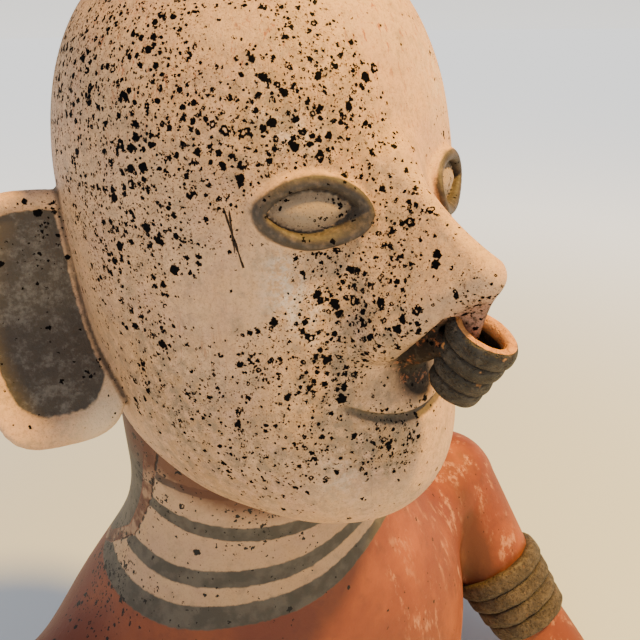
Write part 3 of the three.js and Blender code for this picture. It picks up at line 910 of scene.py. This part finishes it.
def corners_of(thing):
    """A piece's corners, back in millimetres from the eyes."""
    places = np.empty(len(thing.data.vertices) * 3, dtype=np.float32)
    thing.data.vertices.foreach_get("co", places)
    return places.reshape(-1, 3) / MILLIMETRE - EYES


def basis(x_axis, y_axis, z_axis, origin):
    """A matrix from a stack's own frame to the finished part's, from directions and a place."""
    columns = np.stack([x_axis, y_axis, z_axis], -1)
    matrix = Matrix(columns.tolist()).to_4x4()
    matrix.translation = Vector(to_metres(origin).tolist())
    return matrix


def patches(point, places):
    """The sum of soft round patches, each given as x, y, z, radius and strength."""
    return sum(strength * np.exp(-((point - np.array([x, y, z])) ** 2).sum(-1) / radius ** 2)
               for x, y, z, radius, strength in places)


def both_sides(*places):
    """These patches and their mirror images."""
    return (*places, *((-x, *rest) for x, *rest in places))


# Patches of the head's paint, such as where the dark spots gather and where they are missing.
SPOTTED = (
    (-57, -20, 28, 34, 1.0), (-64, -12, -14, 24, 0.8), (-50, 20, 50, 45, 0.8), (-59, -28, 10, 18, 0.5),
    (-42, -47, 16, 16, 1.1), (-24, -55, 22, 16, 1.1), (-10, -62, 22, 11, 0.9), (-17, -54, 38, 10, 0.8),
    (-24, -46, 50, 10, 0.6), (-24, -66, -16, 13, 1.0), (-19, -73, -27, 12, 1.1), (-12, -76, -10, 12, 0.9),
    (-25, -65, -38, 10, 0.9), (-27, -66, -50, 12, 1.0), (-38, -58, -46, 14, 0.7), (-41, -55, -36, 9, 0.5),
    (-40, -60, -75, 22, 0.6), (-60, -30, -60, 28, 0.55), (-13, -76, -77, 9, 1.4), (-4, -79, -80, 6, 0.7),
    (-4, -98, -20, 7, 1.0), (0, -94, -32, 9, 0.7), (-18, -70, -20, 9, 1.0), (-20, -75, -36, 8, 0.9),
    (-27, -62, -28, 6, 0.9), (-9, -72, 0, 8, 0.8), (-26, -64, -42, 7, 0.8), (-16, -80, -30, 7, 0.6),
    (0, 40, 20, 70, 0.5), (55, 0, 10, 45, 0.5), (35, -50, -40, 40, 0.35),
)
CLEAR = (
    (-46, -50, -24, 12, 0.9), (-33, -41, 44, 12, 0.5), (3, -57, 36, 22, 0.4), (-57, -36, -30, 12, 0.3),
    (-24, -72, -94, 10, 0.5), (-31, -61, -35, 4, 0.5),
)
WORN = (
    (-35, -58, -26, 7.5, 1.0), (-31, -61, -35, 6, 0.8), (-37, -56, -16, 5, 0.7), (-35, -50, 24, 5, 0.8),
    (-28, -55, 19, 5, 0.8), (-28, -72, -85, 9, 0.5), (30, -50, 30, 12, 0.6), (40, 10, 70, 20, 0.5),
)
# Where the face's film goes: grime, and painted shade on the brow, beside the nose and under the jaw.
GRIME_AND_SHADE_PATCHES = (
    (-12, -70, 8, 14, 0.7), (-18, -70, -18, 16, 0.9), (-20, -78, -38, 12, 0.8), (-28, -66, -52, 14, 0.9),
    (-16, -76, -72, 16, 1.0), (-40, -60, -80, 26, 0.5), (-62, -20, -50, 30, 0.5), (20, -70, -60, 20, 0.7),
    (-42, -46, 20, 20, 0.8), (-24, -53, 26, 15, 0.7), (-57, -18, -72, 28, 0.7), (-13, -76, -77, 9, 1.0),
    (0, 60, -30, 60, 0.5), (0, 0, 84, 25, 0.3), (70, 10, -40, 30, 0.5),
    *both_sides((50, -30, -105, 30, 0.7)),
)
SEPTUM_SKIN = ((0, -97, -27, 6, 1.5), (0, -95, -34, 7, 2.0), (0, -92, -31, 7, 1.5))
# Under the nose and round the ring's bridge: near-black painted shade, with patches of orange bare clay.
HOLLOW_SHADE_PATCHES = (
    (0, -87, -42, 8, 3.0), (1, -75, -57, 6, 1.7), (4, -75, -62, 4, 0.8),
    *both_sides((4, -80, -48, 7, 2.0), (9, -84, -40, 4, 1.2)),
)
LOBES = both_sides((70, 2, -84, 13, 1.6))
REDDENED = ((-57, -34, -44, 10, 0.9),)
SCRATCHES = (
    ((-47.6, -44.8, 0.7), (-45.0, -48.8, -16.3)), ((-46.4, -45.8, 0.1), (-46.6, -47.4, -13.0)),
    ((-15.6, -70.2, -4.1), (-17.6, -72.8, -23.1)),
)

# The neck's stripes: each one's height, its drop at the front, its rise on the left, and half its
# height. Their ends follow a line, given as heights and how far back it is at each of them.
STRIPES = ((-112, 8, 0, 2.0), (-127, 11, 2, 3.0), (-151.5, 2.5, 8, 3.3), (-167, 0, 11, 4.1))
STRIPE_ENDS = ((-185, -165, -148, -125, -100), (75, 38, 17, 7, 0))
BODY_SPOTTED = (
    (-74, 30, -166, 16, 0.9), (-84, 20, -182, 20, 0.4), (-62, 5, -118, 10, 0.6), (-35, -28, -128, 9, 0.4),
)
# Painted shade where the arms meet the chest.
ARMPIT_SHADE = both_sides(
    (118, -16, -207, 8, 0.8), (118, -20, -224, 8, 1.4), (118, -25, -240, 9, 1.9), (118, -29, -254, 10, 2.0))


def mark_head(head, here):
    """What the head's paint reads."""
    x, y, z = here.T
    on_front = y < -35
    across, half, opening = eye_rope(here)
    above_eye = z + EYE_DROP
    # The grey paint stops short of the upper rope's outer edge, which is left cream as a painted highlight.
    inwards = 0.12 + 0.3 * ease(above_eye, 2, 7)
    mark(head, "rope", np.where(on_front, 1.22 - np.abs(across / half + inwards), -9))
    mark(head, "lens", np.where(on_front, -opening, -9))
    height, reach = mouth_place(here)
    mark(head, "lips", ease(height, -GROOVE_HEIGHT, -1.5) * (1 - ease(height, 0.2, 1.2)) * reach * on_front)
    outwards, through, up = ear_place(here)
    from_skull = skull(here)
    in_ear = (np.abs(x) > 62) & (np.abs(through) < EAR_HALF_THICKNESS + 1) & (through < 1)
    sunk = np.minimum(-ear_centre(outwards, up), from_skull - 2.0)
    mark(head, "ear_centre", np.where(in_ear, sunk, -9))
    # Painted shade: a dark line in the crease where each ear meets the head, and round each eyeball.
    crease_shade = np.maximum(np.abs(from_skull), np.abs(ear(here)))
    eye_gap_shade = np.where(on_front, 0.8 - np.abs(opening + 0.5) / 0.6 + 0.4 * ease(above_eye, 0, 4), 0)
    mark(head, "crevice_shade", np.where(np.abs(through) < 9, 1.35 - crease_shade / 1.6, eye_gap_shade))
    on_lobe = (np.abs(through) < EAR_HALF_THICKNESS + 3) & (from_skull > 1.5)
    mark(head, "lobe", patches(here, LOBES) * on_lobe)
    mark(head, "hollow_shade", patches(here, HOLLOW_SHADE_PATCHES) * (z < -30))
    for name, places in (("septum", SEPTUM_SKIN), ("worn", WORN), ("grime_and_shade", GRIME_AND_SHADE_PATCHES)):
        mark(head, name, patches(here, places))
    mark(head, "scratched", ease(z, -10, 40) + patches(here, REDDENED))
    in_eye = on_front & (across < half + 0.6)
    spotted = clip(patches(here, SPOTTED) - patches(here, CLEAR), 0.03, 1.7)
    mark(head, "spots", np.where(in_eye, 0.06 + 0.3 * (opening < -1), spotted))


def mark_body(body, here):
    """What the body's paint reads: a collar of four stripes that stops short of the back of the neck."""
    x, y, z = here.T
    front_share = clip((7 - y) / 43, 0, 1)
    lift = ease(x, -25, 40) - ease(x, 50, 85)
    in_front = np.interp(z, *STRIPE_ENDS) - y
    stripe = np.full(len(here), -9.0)
    for height, drop, rise, half in STRIPES:
        middle = height - drop * front_share + rise * lift
        stripe = np.maximum(stripe, half * (1 - 0.35 * lift) - np.abs(z - middle))
    behind = np.minimum(-in_front - 7, z + 176)
    mark(body, "stripe", np.maximum(np.minimum(stripe, in_front), behind))
    mark(body, "cream", np.minimum(z + 168 - 11 * lift, in_front))
    mark(body, "border", np.minimum(np.minimum(-in_front, 7 + in_front), z + 172) - 0.3)
    mark(body, "line", np.where((z > -158) & (z < -100), 0.8 - np.abs(in_front), -1))
    # Painted shade: dark brown under the jaw, in the armpits and along each armband's top edge.
    shade_under_jaw = clip(1.5 - np.abs(face_form(here)) / 7, 0, 1.2) * (z > -145)
    along_arm = (folded(here) - SHOULDER) @ ARM_WAY
    shade_above_band = np.exp(-((along_arm - BAND_START + 1.0) / 3.0) ** 2) * (np.abs(x) > 110)
    mark(body, "crease_shade", shade_under_jaw + patches(here, ARMPIT_SHADE) + shade_above_band * 0.75)
    mark(body, "chalk", np.maximum(ease(np.abs(x), 95, 120), ease(x, 10, 30)))
    mark(body, "shade", 1 - ease(x, 0, 35))
    upper_right = ease(z, -185, -150) * ease(-x, -10, 40)
    mark(body, "spots", 0.08 * upper_right + patches(here, BODY_SPOTTED) + 0.012)


def seams(turn, count, low, high):
    """1 in the grooves between a stack's coils, from places counted in coils, and 0 outside them."""
    between = (turn > 0.5) & (turn < count - 0.5)
    return (1 - ease(np.abs(turn - np.round(turn)), low, high)) * between


def nose_ring(paint):
    """The ring of coils, narrower downwards, with a bare place on its top edge."""
    down, ahead, sideways = ring_frame()
    spacing = RING_LENGTH / RING_COILS
    inset = 0.5 - RING_COIL_THICKNESS / 2
    half_depth = RING_HALF_DEPTH + inset
    ring = coils(
        "nose_ring", basis(sideways, ahead, down, RING_TOP + down * spacing / 2),
        Coils=RING_COILS, Spacing=spacing * MILLIMETRE,
        Half_Width=(RING_HALF_WIDTH + inset) * MILLIMETRE, Half_Depth=half_depth * MILLIMETRE,
        Growth=-RING_NARROWING * spacing / half_depth, Coil_Thickness=RING_COIL_THICKNESS * MILLIMETRE,
        Coil_Height=spacing * 1.08 * MILLIMETRE, Rounding=0.42,
        Unevenness=RING_UNEVENNESS * MILLIMETRE, Material=paint)
    here = corners_of(ring) - RING_TOP
    fall, side = here @ down, here @ sideways / RING_HALF_WIDTH
    out = np.sqrt(side ** 2 + (here @ ahead / RING_HALF_DEPTH) ** 2)
    out = out / (1 - RING_NARROWING * fall / RING_HALF_DEPTH)
    outer_edge = ease(out - 0.10 * side, 0.86, 1.0)
    inner_edge = ease(out, 0.75, 0.6) * (fall < 3)
    mark(ring, "bare", (1.6 - fall) * 1.2 - outer_edge * 4 + inner_edge * 3)
    # Painted shade deep inside the ring and in the grooves between its coils, below the bare top edge.
    mark(ring, "inside", ease(0.8 - out, 0, 0.2) * ease(fall, 1.0, 4.0))
    mark(ring, "groove", seams(fall / spacing, RING_COILS, 0.06, 0.19) * (out > 0.7))
    return ring


def armband(name, side, paint):
    """A band of coils round an arm, narrower downwards as the arm is."""
    mirror = np.array([side, 1, 1])
    axis = ARM_WAY * mirror
    across = np.cross(axis, [0, 0, 1.0])
    across /= length(across)
    step = BAND_LENGTH / BAND_COILS
    top, bottom = (
        SHOULDER_RADIUS + (ARM_RADIUS - SHOULDER_RADIUS) * min(place / ARM_LENGTH, 1)
        for place in (BAND_START + step / 2, BAND_START + BAND_LENGTH - step / 2))
    radius = top + BAND_THICKNESS / 2 - 0.6
    start = SHOULDER * mirror + axis * (BAND_START + step / 2)
    band = coils(
        name, basis(across, np.cross(axis, across), axis, start),
        Coils=BAND_COILS, Spacing=step * MILLIMETRE, Half_Width=radius * MILLIMETRE,
        Half_Depth=radius * MILLIMETRE, Growth=(bottom - top) / (BAND_COILS - 1) / radius,
        Coil_Thickness=(BAND_THICKNESS + 3.4) * MILLIMETRE, Coil_Height=step * 1.06 * MILLIMETRE,
        Rounding=0.36, Unevenness=BAND_UNEVENNESS * MILLIMETRE, Material=paint)
    turn = ((corners_of(band) - SHOULDER * mirror) @ axis - BAND_START) / step
    mark(band, "bare", np.full(len(turn), -1.0))
    # Painted shade in the grooves between the coils.
    mark(band, "groove", seams(turn, BAND_COILS, 0.03, 0.13) * 0.85)
    return band


COARSE = 1.0
FINE, MEDIUM, WIDE = 0.98 * COARSE, 1.55 * COARSE, 2.5 * COARSE
BODY_GRID = 2.1 * COARSE

head_corners, head_faces = skin(
    face_form,
    lines((-110, WIDE), (-80, MEDIUM), (-47, FINE), (47, WIDE), (110, WIDE)),
    lines((-110, FINE), (-52, WIDE), (-20, MEDIUM), (30, WIDE), (104, WIDE)),
    lines((-134, MEDIUM), (-80, FINE), (17, MEDIUM), (82, MEDIUM)))
head = piece("head", head_corners, head_faces, head_material())
mark_head(head, head_corners)
body_corners, body_faces = skin(
    body_form,
    lines((-184, BODY_GRID), (184, BODY_GRID)),
    lines((-118, BODY_GRID), (108, BODY_GRID)),
    lines((-EYE_LEVEL - 4, BODY_GRID), (-70, BODY_GRID)))
body = piece("body", body_corners, body_faces, body_material())
mark_body(body, body_corners)
ring = nose_ring(coil_material("dark_ring_coils", RING_GREY, RING_GREY_LIGHT, 0.8))
band_paint = coil_material("brown_armband_coils", BAND_BROWN, BAND_BROWN_LIGHT, 0.1)
right_band = armband("right_armband", -1, band_paint)
left_band = armband("left_armband", 1, band_paint)

for thing in (head, body):
    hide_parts("figure")
for thing in (head, body, ring, right_band, left_band):
    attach(thing, "root")


# The studio: the colour of its white light, how bright the sky is at each height, and the camera.
STUDIO_WHITE = (1.0, 0.975, 0.93)
SKY_LIGHT = ((0.0, 1.4), (0.05, 1.3), (0.15, 0.34), (1.0, 0.66))
FLOOR_GREY = (0.66, 0.74, 0.87)
CAMERA_PLACE = (-0.1365, -0.2125, 0.3804)
CAMERA_TURN = math.radians(39.37)
CAMERA_PITCH = math.radians(24.66)
CAMERA_ROLL = math.radians(-0.89)


def floor_material():
    """Plain pale grey-white that brightens away from the figure, as under a lit studio wall."""
    paint = Paint("pale_floor")
    glow = paint.vector("LENGTH", paint.place).ease(250, 1300)
    light = paint.node("ShaderNodeCombineColor", {}, *(glow * part for part in STUDIO_WHITE))[0]
    shader = paint.node("ShaderNodeBsdfPrincipled", {}, Base_Color=FLOOR_GREY, Roughness=0.9,
                        Emission_Color=light, Emission_Strength=1.0)
    paint.node("ShaderNodeOutputMaterial", {}, shader[0])
    return paint.material


def stage_floor(half):
    mesh = bpy.data.meshes.new("floor")
    corners = [(-half, -half, 0), (half, -half, 0), (half, half, 0), (-half, half, 0)]
    mesh.from_pydata(corners, [], [(0, 1, 2, 3)])
    mesh.materials.append(floor_material())
    thing = placed("floor", mesh)


def lamp(name, place, target, size, power, colour):
    data = bpy.data.lights.new(name, "AREA")
    data.shape = "DISK"
    data.size = size
    data.energy = power
    data.color = colour
    thing = placed(name, data)
    thing.location = place
    thing.rotation_euler = (Vector(target) - Vector(place)).to_track_quat("-Z", "Y").to_euler()


def studio_sky():
    """Soft light from above, with a bright rim where the floor ends."""
    world = bpy.data.worlds.new("soft_room")
    world.use_nodes = True
    sky = Tree(world.node_tree)
    upwards = sky.node("ShaderNodeSeparateXYZ", {}, sky.node("ShaderNodeTexCoord", {})["Generated"])["Z"]
    ramp = sky.node("ShaderNodeValToRGB", {}, upwards)
    stops = ramp.made.color_ramp.elements
    for height, light in SKY_LIGHT:
        stop = stops.new(height) if 0 < height < 1 else stops[0 if height == 0 else -1]
        stop.color = (*(light * part for part in STUDIO_WHITE), 1)
    sky.links.new(ramp[0].socket, sky.nodes["Background"].inputs["Color"])
    bpy.context.scene.world = world


def camera():
    """The photograph's viewpoint: 0.24 m from the eyes, down and to the figure's right."""
    turned = (Matrix.Rotation(-CAMERA_TURN, 4, "Z") @ Matrix.Rotation(math.pi / 2 - CAMERA_PITCH, 4, "X")
              @ Matrix.Rotation(CAMERA_ROLL, 4, "Z"))
    data = bpy.data.cameras.new("camera")
    data.lens = 36.0
    data.sensor_width = 36.0
    data.clip_start = 0.01
    thing = placed("camera", data)
    thing.matrix_world = Matrix.Translation(CAMERA_PLACE) @ turned
    bpy.context.scene.camera = thing


stage_floor(half=40.0)
camera()
lamp("key", (0.42, -0.50, 1.45), target=(0, -0.03, 0.3), size=0.16, power=56.0, colour=(1.0, 0.57, 0.10))
lamp("side", (-0.95, -0.55, 0.95), target=(0, 0, 0.3), size=0.7, power=1.8, colour=(1.0, 0.90, 0.76))
studio_sky()
